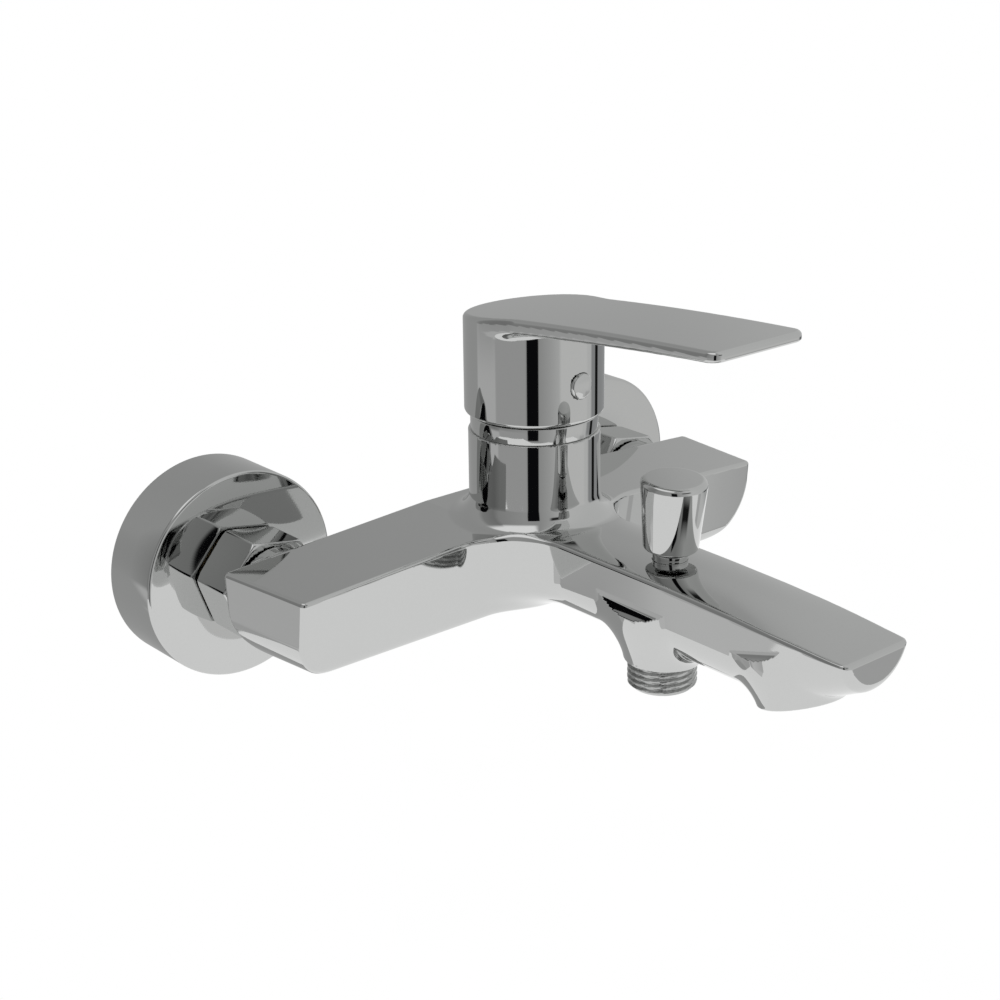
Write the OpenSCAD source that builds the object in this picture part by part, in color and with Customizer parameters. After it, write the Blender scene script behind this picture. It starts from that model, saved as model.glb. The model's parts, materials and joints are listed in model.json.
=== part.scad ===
// Wall-mounted single-lever bath and shower mixer.
// +Z is up, +Y points into the wall, and the finished wall is the plane y = 0.
// The origin lies on the wall, midway between the two supply pipes.

/* [Wall connection] */
// Distance between the hot and the cold inlet
inlet_spacing = 150; // [144:0.5:156]
// Height of the mixer's inlets above the supply pipes
union_rise = 6; // [0:0.5:10]
// Thread that screws into the supply pipe, outer diameter
pipe_thread_d = 20.956; // [20:0.002:22]
// Length of that thread behind the wall
pipe_thread_len = 14; // [10:0.5:18]
// Thread that carries the union nut, outer diameter
nut_thread_d = 26.44; // [26:0.02:26.8]
// Pitch of both pipe threads
thread_pitch = 1.814; // [1.4:0.002:2]
// Depth of the thread grooves
thread_depth = 0.8; // [0.4:0.05:1]
// Length of the thread that carries the union nut
nut_thread_len = 14; // [12:0.5:15]
// Waterway through each union
union_bore_d = 13; // [10:0.5:14]

/* [Escutcheons] */
// Diameter of the cover flange against the wall
escutcheon_d = 66; // [60:0.5:72]
// Depth of the cover flange
escutcheon_depth = 22; // [18:0.5:26]
// Thickness of its sheet
escutcheon_wall = 1.2; // [0.8:0.1:2]
// Radius of its front edge
escutcheon_edge_r = 1; // [0.4:0.1:1.6]

/* [Union nuts] */
// Width across the flats of the hexagon
nut_af = 30; // [29.6:0.1:32]
// Length of the nut
nut_len = 16.6; // [15:0.2:19]
// Thickness of the shoulder that pulls on the inlet tail
nut_shoulder_t = 3; // [2:0.2:4]
// Space between the escutcheon and the nut
nut_gap = 0.6; // [0.4:0.1:1.6]
// Chamfer of the nut's corners
nut_chamfer = 1.1; // [0.5:0.1:1.6]
// Thickness of the fibre washer
washer_t = 2; // [1.5:0.1:3]
// Thickness of the flange on the inlet tail
tail_flange_t = 3; // [2:0.1:4]
// Outer diameter of the inlet tail's tube
tail_d = 19; // [18.5:0.1:20]
// Length of the inlet tail inside the body
tail_grip = 11; // [8:0.5:12]
// Space between the nut and the body's collar
collar_gap = 0.8; // [0.5:0.1:1.6]

/* [Body] */
// Length of the round collar between the body and each nut
collar_len = 4.4; // [3:0.2:9]
// Diameter of that collar
collar_d = 28; // [26:0.2:29]
// Distance from each inlet's axis to the end of its arm, at the rear
arm_overhang = 21.2; // [19:0.2:23]
// How much further in the arm ends at the front
arm_end_taper = 3.8; // [1:0.1:5]
// Depth of the arms, from the rear face to the front face
arm_depth = 37.1; // [35:0.1:39]
// Height of the arm's top above the inlet, at the arm's end
arm_top_end = 13; // [12:0.2:14]
// Height of the body's top above the inlet, at the middle
top_mid = 17; // [16:0.2:18]
// Depth of the arms' underside below the inlet
arm_keel = 13.3; // [12.5:0.1:15]
// Radius at the bottom of each arm's end
arm_end_r = 12; // [8:0.5:14]
// Radius along the lower edges of the arms
arm_low_r = 5; // [3:0.5:8]
// Distance from the rear face to the axis of the cartridge
hub_back = 30; // [28:0.2:32]
// Height of the neck above the body
neck_h = 27.5; // [26:0.5:32]
// Thickness of the neck's wall round the cartridge
neck_wall = 3; // [2.4:0.1:4]
// Radius of the fillet at the foot of the neck
neck_foot_r = 6; // [3:0.5:7]
// Radius of the hollow corner between arm and spout
side_fillet_r = 22; // [16:1:26]

/* [Spout] */
// Distance from the cartridge's axis to the tip of the spout
spout_reach = 138.6; // [134:0.2:146]
// Width of the spout
spout_w = 30.2; // [29:0.2:33]
// Width of the spout at its tip
spout_tip_w = 28; // [26:0.2:29]
// Height of the spout's top above the inlet, at its tip
spout_top_tip = 14.4; // [13:0.2:15]
// Depth of the spout's underside below the inlet
spout_keel = 8.5; // [8:0.1:10]
// Radius of the corners of the tip, seen from above
tip_corner_r = 2.5; // [1:0.5:4]
// Height of the tip's rounded underside above the inlet
tip_keel = 1.2; // [0.4:0.1:2.5]
// Distance from the tip back to the middle of the aerator's mouth
aerator_back = 26; // [24:0.2:30]
// Depth of the aerator's mouth below the inlet
aerator_drop = 7.8; // [7:0.1:9]
// Forward tilt of the water jet
aerator_tilt = 17; // [12:0.5:20]
// Diameter of the aerator's recess
aerator_d = 21.4; // [20:0.1:22.4]
// Wall of the spout round the aerator
aerator_wall = 2; // [1.6:0.1:2.6]
// Depth of the aerator's recess
aerator_depth = 8; // [7:0.2:9]
// Height of the aerator's housing
aerator_h = 5; // [4.5:0.1:5.5]
// How far the housing stands back in its recess
aerator_inset = 0.5; // [0.3:0.1:1]
// Waterway through the spout
spout_bore_d = 8; // [7:0.5:9]

/* [Shower outlet] */
// Distance from the cartridge's axis forward to the outlet
outlet_reach = 57.6; // [56:0.2:62]
// Length of the outlet's thread
outlet_thread_len = 8.4; // [7:0.2:12]
// Depth of the boss's lower face below the inlet
boss_keel = 14; // [13:0.2:16]
// Diameter of the boss at that face
boss_d = 23; // [22.4:0.1:25]
// Radius of the fillet between boss and spout
boss_fillet_r = 9; // [6:0.5:9.5]
// Waterway of the outlet
outlet_bore_d = 12; // [10:0.2:13]
// Depth of the outlet nipple inside the boss
nipple_grip = 5; // [4:0.2:6]

/* [Diverter] */
// How much further forward than the outlet the knob's stem leaves the spout
diverter_shift = 2.5; // [1:0.1:3.5]
// Forward lean of the knob's stem
diverter_tilt = 3; // [0:0.5:5]
// Travel of the knob
diverter_travel = 8; // [6:0.2:9]
// Diameter of the knob at its top
knob_top_d = 19.8; // [18:0.2:23]
// Diameter of the knob at its lower rim
knob_low_d = 16.6; // [15:0.2:18]
// Height of the knob
knob_h = 21.8; // [18:0.2:24]
// Radius of the knob's upper rim
knob_rim_r = 1.8; // [0.8:0.1:3]
// Height of the knob's lower rim above the spout
knob_lift = 4.8; // [4.4:0.1:6]
// Diameter of the gland that stands out of the spout
gland_d = 10.8; // [10.4:0.1:12.4]
// Height of the gland above the spout
gland_rise = 3.7; // [3:0.1:4]
// Diameter of the diverter's stem
stem_d = 5; // [4:0.1:5.4]
// Diameter of the diverter's valve plate
valve_d = 14; // [13:0.1:14.6]
// Thickness of the valve plate
valve_t = 2.4; // [1.6:0.1:3]
// Depth of the gland's thread inside the spout
gland_grip = 7; // [6:0.5:7.5]
// Length of the diverter spring when it is fully pressed
spring_min = 6.6; // [5:0.2:7]

/* [Cartridge] */
// Diameter of the cartridge
cartridge_d = 35; // [34:0.1:36]
// Height of the cartridge's body, up to its shoulder
cartridge_h = 22.6; // [21.6:0.1:24]
// Height of the cartridge seat above the body's top
seat_rise = 0.5; // [0:0.1:1.5]
// Diameter of the ceramic discs
disc_d = 27; // [26:0.1:28]
// Thickness of each ceramic disc
disc_t = 3.4; // [3:0.1:3.8]
// Width of the square upper end of the lever stem
stem_square = 8; // [7:0.1:8.6]
// Height of the tilt axis above the body's top
pivot_rise = 23; // [22:0.1:23.6]
// Height of the lever stem above the tilt axis
stem_rise = 33; // [31:0.2:34]
// Diameter of the eye in the lever stem, and width of the carrier's slot
eye_d = 8; // [7:0.1:8.4]

/* [Handle] */
// Height of the trim ring under the handle
ring_h = 5.3; // [4.6:0.1:6]
// How far the ring stands back from the neck's surface
ring_inset = 0.7; // [0.4:0.1:1.2]
// Space between the ring and the handle
handle_gap = 0.5; // [0.4:0.1:1]
// Clearance between the handle's skirt and the ring
skirt_clear = 0.3; // [0.3:0.05:0.6]
// Thickness of the handle's skirt
skirt_wall = 1.5; // [1.3:0.1:2]
// Height of the handle above its lower edge, on its axis
hub_h = 32.7; // [32:0.1:36]
// Thickness of the handle's roof
roof_t = 5; // [4:0.2:6]
// Radius of the hub's lower edge
hub_edge_r = 1.2; // [0.6:0.1:1.4]
// Distance from the handle's axis to the tip of the lever
lever_reach = 94; // [85:0.5:105]
// Width of the lever where it leaves the hub
lever_w = 39.4; // [36:0.2:41]
// Width of the lever at its tip
lever_tip_w = 36.8; // [32:0.2:39]
// Thickness of the lever at the hub
lever_t = 5; // [4:0.1:6]
// Thickness of the lever at its tip
lever_tip_t = 3.2; // [2.6:0.1:4]
// Corner radius of the lever's tip, seen from above
lever_corner_r = 4; // [2:0.5:8]
// Rise of the lever from hub to tip
lever_rise = 8.2; // [6:0.2:13]
// Height of the grub screw above the hub's lower edge
screw_rise = 12; // [10.6:0.2:13]
// Diameter of the plug that covers the grub screw
plug_d = 8; // [7:0.1:9]
// Diameter of the grub screw
screw_d = 6; // [5:0.1:6]
// Length of the grub screw
screw_len = 6; // [5:0.2:8]
// Length of the post inside the hub, round the square of the stem
post_len = 14; // [12:0.5:15]

/* [Fits] */
// Radial clearance of a piece seated in its hole
seat_clear = 0.05; // [0.02:0.01:0.1]
// Radial clearance of a piece that turns or slides in its hole
run_clear = 0.06; // [0.03:0.01:0.1]
// Clearance between pieces that pass each other
pass_clear = 0.5; // [0.3:0.05:0.8]

/* [Hidden] */
$fn = 96;
eps = 0.01;

// Stations along Y, from the wall outward.
nut_rear = -escutcheon_depth - nut_gap;
nut_front = nut_rear - nut_len;
flange_front = nut_front + nut_shoulder_t;
flange_rear = flange_front + tail_flange_t;
union_front = flange_rear + washer_t;
collar_rear = nut_front - collar_gap;
body_rear = collar_rear - collar_len;
tail_front = body_rear - tail_grip;
arm_mid = body_rear - arm_depth / 2;
arm_front = body_rear - arm_depth;
hub_y = body_rear - hub_back;
outlet_y = hub_y - outlet_reach;
diverter_y = outlet_y - diverter_shift;
spout_tip = hub_y - spout_reach;
aerator_y = spout_tip + aerator_back;
lever_tip = hub_y - lever_reach;

// Heights.
axis_z = union_rise;
top_z = axis_z + top_mid;
neck_top = top_z + neck_h;
seat_z = top_z + seat_rise;
ring_top = neck_top + ring_h;
hub_bottom = ring_top + handle_gap;
hub_top = hub_bottom + hub_h;
pivot_z = top_z + pivot_rise;
stem_top = pivot_z + stem_rise;
screw_z = hub_bottom + screw_rise;
boss_z = axis_z - boss_keel;
outlet_end = boss_z - outlet_thread_len;
aerator_z = axis_z - aerator_drop;

// Widths and radii.
inlet_x = inlet_spacing / 2;
arm_half = inlet_x + arm_overhang;
cart_r = cartridge_d / 2;
cavity_r = cart_r + seat_clear;
neck_r = cavity_r + neck_wall;
ring_r = neck_r - ring_inset;
skirt_r = ring_r + skirt_clear;
hub_r = skirt_r + skirt_wall;
tail_r = tail_d / 2;
nut_bore_r = nut_thread_d / 2 + run_clear;
flange_r = nut_bore_r - 0.4;
knob_z = knob_lift;
gland_r = gland_d / 2 - 0.2;
seal_step = 1.4;
chamber_r = valve_d / 2 + 1;
chamber_depth = gland_grip + spring_min + diverter_travel + valve_t;
valve_z = 0.1 - chamber_depth;
nipple_r = pipe_thread_d / 2 - thread_depth - 0.08;
check_r = outlet_bore_d / 2 + 1;
insert_rim = 1.8;

// Inside the cartridge, from the seat upward.
base_t = 4.2;
seal_t = 0.6;
base_z = seat_z + seal_t;
fixed_z = base_z + base_t;
moving_z = fixed_z + disc_t;
driver_z = moving_z + disc_t;
driver_t = 3;
driver_gap = 0.4;
carrier_z = driver_z + driver_t + driver_gap;
shoulder_z = seat_z + cartridge_h;
shoulder_r = cart_r - 2.6;
housing_wall = 2.2;
carrier_r = cart_r - housing_wall - run_clear;
carrier_top = shoulder_z - 1.5;
carrier_neck_r = carrier_r - 3;
carrier_neck_h = 5.5;
ball_r = 2.6;
ball_z = driver_z + ball_r + 0.3;
pin_r = 1.5;
pin_half = 9;
slot_front = eye_d + 0.6;
slot_rear = eye_d + 2.6;
moving_r = disc_d / 2 - 1.9;
port_r = 2.6;
inlet_port = [7.6, -4.6];
outlet_port = [0, 1.2];

// ---- helpers ----

// Extrudes an outline drawn in X and Z forward from y = y0 to y = y1.
module forward(y0, y1) {
    translate([0, y0, 0]) rotate([90, 0, 0]) linear_extrude(y0 - y1) children();
}

// Extrudes an outline drawn in Y and Z along X, centred.
module sideways(w) {
    rotate([90, 0, 90]) linear_extrude(w, center = true) children();
}

// A rod along -Y from y0 to y1.
module rod_y(r, y0, y1) {
    translate([0, y0, 0]) rotate([90, 0, 0]) cylinder(r = r, h = y0 - y1);
}

// A tube along +Z.
module tube(r, bore, h) {
    difference() {
        cylinder(r = r, h = h);
        translate([0, 0, -eps]) cylinder(r = bore, h = h + 2 * eps);
    }
}

// Half section of a threaded rod of length len: flat crests with a groove at each pitch.
module thread_section(r, bore, len) {
    count = floor(len / thread_pitch);
    lead = (len - count * thread_pitch) / 2;
    difference() {
        translate([bore, 0]) square([r - bore, len]);
        for (i = [0 : count - 1])
            translate([r, lead + (i + 0.5) * thread_pitch])
                polygon([[eps, -0.32 * thread_pitch], [eps, 0.32 * thread_pitch],
                    [-thread_depth, 0.08 * thread_pitch], [-thread_depth, -0.08 * thread_pitch]]);
    }
}

// Moves a piece drawn round the origin's Y axis to an inlet, side = -1 hot, 1 cold.
module at_inlet(side) {
    translate([side * inlet_x, 0, axis_z]) children();
}

// Places a piece of the cartridge or handle, drawn round the Z axis.
module at_hub(z) {
    translate([0, hub_y, z]) children();
}

// Places a piece of the diverter: its own z = 0 is the spout's top at the stem.
module at_diverter() {
    translate([0, diverter_y, spout_top(diverter_y)]) rotate([diverter_tilt, 0, 0]) children();
}

// Places a piece of the aerator: its own z = 0 is the mouth, +Z leads into the spout.
module at_aerator() {
    translate([0, aerator_y, aerator_z]) rotate([-aerator_tilt, 0, 0]) children();
}

// Height of the spout's top at the station y: level at first, then a long arch to the tip.
function spout_top(y) =
    let (s = max(0, outlet_y - y) / (outlet_y - spout_tip))
    top_z - (top_mid - spout_top_tip) * s * s;

// ---- body ----

// Section of the spout: flat on top, a half circle below.
module d_section(half, keel_z, high_z) {
    translate([0, keel_z + half]) circle(r = half);
    translate([-half, keel_z + half]) square([2 * half, high_z - keel_z - half]);
}

// Section of the arms: a block with rounded lower edges.
module arm_section() {
    half = arm_depth / 2;
    low = axis_z - arm_keel;
    translate([-half, low + arm_low_r]) square([2 * half, top_z - low - arm_low_r]);
    translate([-half + arm_low_r, low]) square([2 * (half - arm_low_r), 2 * arm_low_r]);
    for (side = [-1, 1])
        translate([side * (half - arm_low_r), low + arm_low_r]) circle(r = arm_low_r);
}

// Both arms seen from above.
module arm_plan() {
    polygon([[-arm_half, body_rear], [arm_half, body_rear],
        [arm_half - arm_end_taper, arm_front], [-arm_half + arm_end_taper, arm_front]]);
}

// Both arms seen from the front, with the top falling towards the ends.
module arm_elevation() {
    low = axis_z - arm_keel;
    difference() {
        polygon([[-arm_half, low], [arm_half, low], [arm_half, axis_z + arm_top_end],
            [neck_r, top_z], [-neck_r, top_z], [-arm_half, axis_z + arm_top_end]]);
        for (side = [-1, 1])
            translate([side * (arm_half - arm_end_r), low + arm_end_r])
                difference() {
                    translate([side > 0 ? 0 : -2 * arm_end_r, -2 * arm_end_r])
                        square(2 * arm_end_r);
                    circle(r = arm_end_r);
                }
    }
}

module arms() {
    intersection() {
        sideways(3 * arm_half) translate([arm_mid, 0]) arm_section();
        translate([0, 0, axis_z - arm_keel - 1]) linear_extrude(3 * top_mid) arm_plan();
        forward(body_rear + 1, arm_front - 1) arm_elevation();
    }
}

// The spout seen from above, back to the middle of the arms.
module spout_plan() {
    half = spout_w / 2;
    tip = spout_tip_w / 2;
    polygon([[-half, arm_mid], [half, arm_mid], [half, aerator_y],
        [tip, spout_tip + tip_corner_r], [-tip, spout_tip + tip_corner_r], [-half, aerator_y]]);
    translate([-tip + tip_corner_r, spout_tip]) square([spout_tip_w - 2 * tip_corner_r, aerator_back]);
    for (side = [-1, 1])
        translate([side * (tip - tip_corner_r), spout_tip + tip_corner_r]) circle(r = tip_corner_r);
}

// The hollow corners between the arms and the spout.
module corner_plan() {
    for (side = [-1, 1])
        difference() {
            translate([side > 0 ? 0 : -spout_w / 2 - side_fillet_r, arm_front - side_fillet_r])
                square([spout_w / 2 + side_fillet_r, side_fillet_r + arm_depth / 2]);
            translate([side * (spout_w / 2 + side_fillet_r), arm_front - side_fillet_r])
                circle(r = side_fillet_r);
        }
}

// Side view of everything below the top of the body.
module top_elevation() {
    low = axis_z - boss_keel - 10;
    n = 10;
    polygon(concat(
        [[spout_tip, low], [body_rear, low], [body_rear, top_z]],
        [for (i = [0 : n]) let (y = outlet_y + (spout_tip - outlet_y) * i / n) [y, spout_top(y)]]));
}

module spout() {
    half = spout_w / 2;
    low = axis_z - spout_keel + half;
    run = aerator_y - spout_tip;
    tip_low = axis_z + tip_keel + spout_tip_w / 2;
    intersection() {
        union() {
            forward(arm_mid, aerator_y) d_section(half, axis_z - spout_keel, top_z);
            translate([0, aerator_y, low]) rotate([90 - atan2(tip_low - low, run), 0, 0])
                cylinder(r1 = half, r2 = spout_tip_w / 2, h = 1.3 * run);
            sideways(spout_w) polygon([[aerator_y + 1, low], [aerator_y + 1, top_z],
                [spout_tip, top_z], [spout_tip, tip_low]]);
            at_aerator() cylinder(r = aerator_d / 2 + aerator_wall, h = aerator_drop + 8);
        }
        translate([0, 0, axis_z - 2 * boss_keel]) linear_extrude(4 * top_mid) spout_plan();
        sideways(2 * spout_w) top_elevation();
    }
}

// The web that fills the two hollow corners, and the block under the neck.
module corner_web() {
    intersection() {
        translate([0, 0, axis_z - spout_keel])
            linear_extrude(top_mid + spout_keel) corner_plan();
        forward(body_rear, arm_front - side_fillet_r) arm_elevation();
    }
}

// The neck with the fillet at its foot, which stays on the body's top.
module neck() {
    at_hub(axis_z) cylinder(r = neck_r, h = neck_top - axis_z);
    intersection() {
        at_hub(top_z - 3) rotate_extrude()
            difference() {
                square([neck_r + neck_foot_r, neck_foot_r + 3]);
                translate([neck_r + neck_foot_r, neck_foot_r + 3]) circle(r = neck_foot_r);
            }
        translate([0, 0, axis_z]) linear_extrude(2 * top_mid)
            union() {
                arm_plan();
                spout_plan();
                corner_plan();
            }
    }
}

// The boss of the shower outlet, with a fillet up to the spout.
module boss() {
    r = boss_d / 2;
    intersection() {
        translate([0, outlet_y, boss_z]) rotate_extrude()
            difference() {
                square([r + boss_fillet_r, boss_fillet_r + 1.5]);
                translate([r + boss_fillet_r, 1]) circle(r = boss_fillet_r);
                translate([r, -1]) square([boss_fillet_r + 1, 2]);
            }
        translate([0, outlet_y, boss_z]) cube([spout_w, 4 * r, 4 * r], center = true);
    }
}

// The round collar at each inlet, which keeps the nut off the rear wall.
module inlet_collars() {
    for (side = [-1, 1])
        at_inlet(side) rod_y(collar_d / 2, collar_rear, body_rear - 1);
}

// Bore for one inlet tail, and its waterway to a port under the cartridge.
module supply_way(side) {
    bore = spout_bore_d / 2;
    supply_y = tail_front - bore + 1;
    supply_z = axis_z - 2;
    at_inlet(side) rod_y(tail_r + seat_clear, collar_rear + 1, tail_front);
    at_inlet(side) rod_y(tail_r - 3, tail_front + 1, supply_y - bore - 1);
    translate([side * inlet_x, supply_y, supply_z]) rotate([0, -side * 90, 0])
        cylinder(r = bore, h = inlet_x - inlet_port.x + 1);
    translate([side * inlet_port.x, 0, supply_z])
        rod_y(port_r - 0.4, supply_y, hub_y + inlet_port.y);
    translate([side * inlet_port.x, hub_y + inlet_port.y, supply_z])
        cylinder(r = port_r, h = seat_z - supply_z + 0.5);
}

// Bore for the cartridge, and the waterway of the mixed water to the aerator.
module mixed_way() {
    channel_z = axis_z + 4;
    start = hub_y + outlet_port.y;
    at_hub(seat_z) cylinder(r = cavity_r, h = neck_top - seat_z + 1);
    translate([0, start, channel_z]) cylinder(r = port_r, h = seat_z - channel_z + 1);
    translate([0, 0, channel_z]) rod_y(spout_bore_d / 2, start + 2, aerator_y);
}

module aerator_recess() {
    at_aerator() translate([0, 0, -5]) cylinder(r = aerator_d / 2, h = aerator_depth + 5);
    at_aerator() cylinder(r = aerator_d / 2 - 3, h = aerator_drop + 3);
}

// Bores for the gland, the valve chamber, the seat and the shower nipple.
module diverter_bores() {
    translate([0, outlet_y, boss_z - 1]) cylinder(r = nipple_r + seat_clear, h = nipple_grip + 1);
    at_diverter() translate([0, 0, -gland_grip])
        cylinder(r = gland_r + seat_clear, h = 2 * gland_grip);
    at_diverter() translate([0, 0, -chamber_depth])
        cylinder(r = chamber_r, h = chamber_depth - gland_grip + eps);
    translate([0, outlet_y, boss_z]) cylinder(r = outlet_bore_d / 2 - 1, h = boss_keel);
}

// The casting before it is drilled.
module casting() {
    arms();
    spout();
    corner_web();
    neck();
    boss();
    inlet_collars();
}

module body() {
    color("gainsboro")
        difference() {
            difference() {
                casting();
                mixed_way();
                aerator_recess();
                diverter_bores();
            }
            supply_way(-1);
            supply_way(1);
        }
}

// ---- wall connection ----

module escutcheon(side) {
    r = escutcheon_d / 2;
    d = escutcheon_depth;
    w = escutcheon_wall;
    e = escutcheon_edge_r;
    hole = nut_thread_d / 2 + pass_clear;
    color("gainsboro")
        at_inlet(side) rotate([90, 0, 0]) rotate_extrude($fn = 160)
            difference() {
                union() {
                    square([r, d - e]);
                    square([r - e, d]);
                    translate([r - e, d - e]) circle(r = e);
                }
                translate([0, -1]) square([r - w, d - w + 1]);
                square([hole, d + 1]);
            }
}

// Eccentric union: pipe thread at the wall, nut thread at the mixer, one bore through both.
module s_union(side) {
    r = nut_thread_d / 2;
    pr = pipe_thread_d / 2;
    shank = pr - thread_depth;
    root = -union_front - nut_thread_len;
    color("tan")
        difference() {
            union() {
                translate([side * inlet_x, 0, 0]) rotate([-90, 0, 0])
                    rotate_extrude() thread_section(pr, 0, pipe_thread_len);
                translate([side * inlet_x, 0, 0]) rod_y(shank, 1, -4);
                translate([side * inlet_x, -3, 0]) rotate([90, 0, 0])
                    linear_extrude(root - 3) {
                        circle(r = shank);
                        translate([0, union_rise]) circle(r = r - 1);
                        translate([-shank, 0]) square([2 * shank, union_rise]);
                    }
                at_inlet(side) translate([0, -root, 0]) rotate([90, 0, 0])
                    rotate_extrude() thread_section(r, 0, nut_thread_len);
            }
            translate([side * inlet_x, pipe_thread_len + 1, 0])
                rotate([90, 0, 0]) cylinder(d = union_bore_d, h = pipe_thread_len + 6);
            translate([side * inlet_x, -5, 0]) rotate([90 - atan2(union_rise, root - 5), 0, 0])
                translate([0, 0, -2]) cylinder(d = union_bore_d, h = root);
            at_inlet(side) rod_y(union_bore_d / 2, -root + 3, union_front - 1);
        }
}

// Hexagon union nut: threaded towards the wall, shoulder behind the tail's flange.
module union_nut(side) {
    corner = nut_af / 2 / cos(30);
    hole = tail_r + run_clear;
    color("gainsboro")
        at_inlet(side)
            difference() {
                intersection() {
                    translate([0, nut_rear, 0]) rotate([90, 10, 0])
                        cylinder(r = corner, h = nut_len, $fn = 6);
                    translate([0, nut_rear, 0]) rotate([90, 0, 0]) rotate_extrude()
                        polygon([[0, 0], [corner - nut_chamfer, 0], [corner + 0.2, nut_chamfer],
                            [corner + 0.2, nut_len - nut_chamfer], [corner - nut_chamfer, nut_len],
                            [0, nut_len]]);
                }
                rod_y(nut_bore_r, nut_rear + 1, flange_front);
                rod_y(hole, nut_rear, nut_front - 1);
            }
}

module washer(side) {
    color("dimgray")
        at_inlet(side)
            difference() {
                rod_y(flange_r - 0.3, union_front, flange_rear);
                rod_y(union_bore_d / 2, union_front + 1, flange_rear - 1);
            }
}

// Sieve that sits in the mouth of the inlet tail: a rim with crossed bars.
module filter_screen(side) {
    rim = union_bore_d / 2 - seat_clear;
    depth = 5;
    color("silver")
        at_inlet(side)
            difference() {
                rod_y(rim, flange_rear, flange_rear - depth);
                rod_y(rim - 0.8, flange_rear + 1, flange_rear - depth + 0.8);
                for (x = [-3 : 1.5 : 3], z = [-3 : 1.5 : 3])
                    translate([x, 0, z]) rod_y(0.5, flange_rear, flange_rear - depth - 1, $fn = 24);
            }
}

// Brass tail screwed into the body: the nut pulls on its flange.
module inlet_tail(side) {
    color("tan")
        at_inlet(side)
            difference() {
                union() {
                    rod_y(flange_r, flange_rear, flange_front);
                    rod_y(tail_r, flange_rear, tail_front);
                }
                rod_y(union_bore_d / 2, flange_rear + 1, tail_front - 1);
            }
}

// ---- cartridge ----

// The two inlet ports and the outlet port between them, as holes through a disc.
module ports(h) {
    for (side = [-1, 1])
        translate([side * inlet_port.x, inlet_port.y, -1]) cylinder(r = port_r, h = h + 2);
    translate([outlet_port.x, outlet_port.y, -1]) cylinder(r = port_r, h = h + 2);
}

module cartridge_seals() {
    color("black")
        at_hub(seat_z) {
            for (side = [-1, 1])
                translate([side * inlet_port.x, inlet_port.y, 0])
                    tube(port_r + 1.2, port_r + 0.3, seal_t);
            translate([outlet_port.x, outlet_port.y, 0]) tube(port_r + 1.2, port_r + 0.3, seal_t);
        }
}

module cartridge_base() {
    color("ivory")
        at_hub(base_z)
            difference() {
                cylinder(r = cart_r - housing_wall - seat_clear, h = base_t);
                ports(base_t);
            }
}

module fixed_disc() {
    color("white")
        at_hub(fixed_z)
            difference() {
                cylinder(d = disc_d, h = disc_t);
                ports(disc_t);
            }
}

// Disc whose hollow joins the ports as it slides and turns on the fixed disc.
module moving_disc() {
    color("white")
        at_hub(moving_z)
            difference() {
                cylinder(r = moving_r, h = disc_t);
                translate([0, 0, -1]) cylinder(r = moving_r / 2, h = disc_t / 2 + 1);
            }
}

// Plastic carrier on the moving disc, with the pocket for the stem's ball.
module disc_driver() {
    color("orange")
        at_hub(driver_z)
            difference() {
                cylinder(r = moving_r, h = driver_t);
                translate([0, 0, -1]) cylinder(r = ball_r + 0.35, h = driver_t + 2);
            }
}

module cartridge_housing() {
    inner = cart_r - housing_wall;
    neck_hole = carrier_neck_r + run_clear;
    color("ivory")
        at_hub(base_z)
            difference() {
                union() {
                    cylinder(r = cart_r, h = shoulder_z - base_z);
                    cylinder(r = shoulder_r, h = shoulder_z - base_z + 3.4);
                }
                translate([0, 0, -1]) cylinder(r = inner, h = carrier_top - base_z + 1 + run_clear);
                cylinder(r = neck_hole, h = 2 * cartridge_h);
            }
}

// The turning sleeve that holds the tilt pin; its slot lets the stem swing.
module cartridge_carrier() {
    slot = eye_d + 2 * run_clear;
    slot_y = hub_y - slot_front;
    color("lightgray")
        difference() {
            union() {
                at_hub(carrier_z) cylinder(r = carrier_r, h = carrier_top - carrier_z);
                at_hub(carrier_top - eps) cylinder(r = carrier_neck_r, h = carrier_neck_h);
            }
            translate([-slot / 2, slot_y, carrier_z - 1])
                cube([slot, slot_front + slot_rear, 2 * cartridge_h]);
            translate([0, hub_y, pivot_z]) rotate([0, 90, 0])
                cylinder(r = pin_r + run_clear, h = 2 * pin_half, center = true);
        }
}

module pivot_pin() {
    color("silver")
        translate([0, hub_y, pivot_z]) rotate([0, 90, 0])
            cylinder(r = pin_r, h = 2 * pin_half - 0.2, center = true);
}

// Lever stem: a ball below, an eye at the tilt axis and a square end for the handle.
module lever_stem() {
    half = stem_square / 2;
    square_z = pivot_z + eye_d / 2 - 0.4;
    color("silver")
        difference() {
            union() {
                at_hub(square_z) translate([-half, -half, 0])
                    cube([stem_square, stem_square, stem_top - square_z]);
                at_hub(pivot_z) cylinder(r = eye_d / 2 - 0.4, h = square_z - pivot_z + eps);
                translate([0, hub_y, pivot_z]) rotate([0, 90, 0])
                    cylinder(r = eye_d / 2, h = eye_d - 0.2, center = true);
                at_hub(ball_z) cylinder(r = ball_r - 0.6, h = pivot_z - ball_z);
                at_hub(ball_z) sphere(r = ball_r);
            }
            translate([0, hub_y, pivot_z]) rotate([0, 90, 0])
                cylinder(r = pin_r + run_clear, h = 2 * pin_half, center = true);
        }
}

// Retaining nut that presses the cartridge down, below the top of the trim ring.
module cartridge_nut() {
    outer = cavity_r - seat_clear;
    inner = shoulder_r + seat_clear;
    color("tan")
        difference() {
            at_hub(shoulder_z) cylinder(r = outer, h = ring_top - shoulder_z - 1);
            at_hub(shoulder_z - 1) cylinder(r = inner, h = ring_h + neck_h);
            for (a = [0 : 60 : 300])
                at_hub(ring_top - 2.6) rotate([0, 0, a])
                    translate([outer - 1, 0, 0]) cylinder(r = 1.4, h = 3);
        }
}

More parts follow.
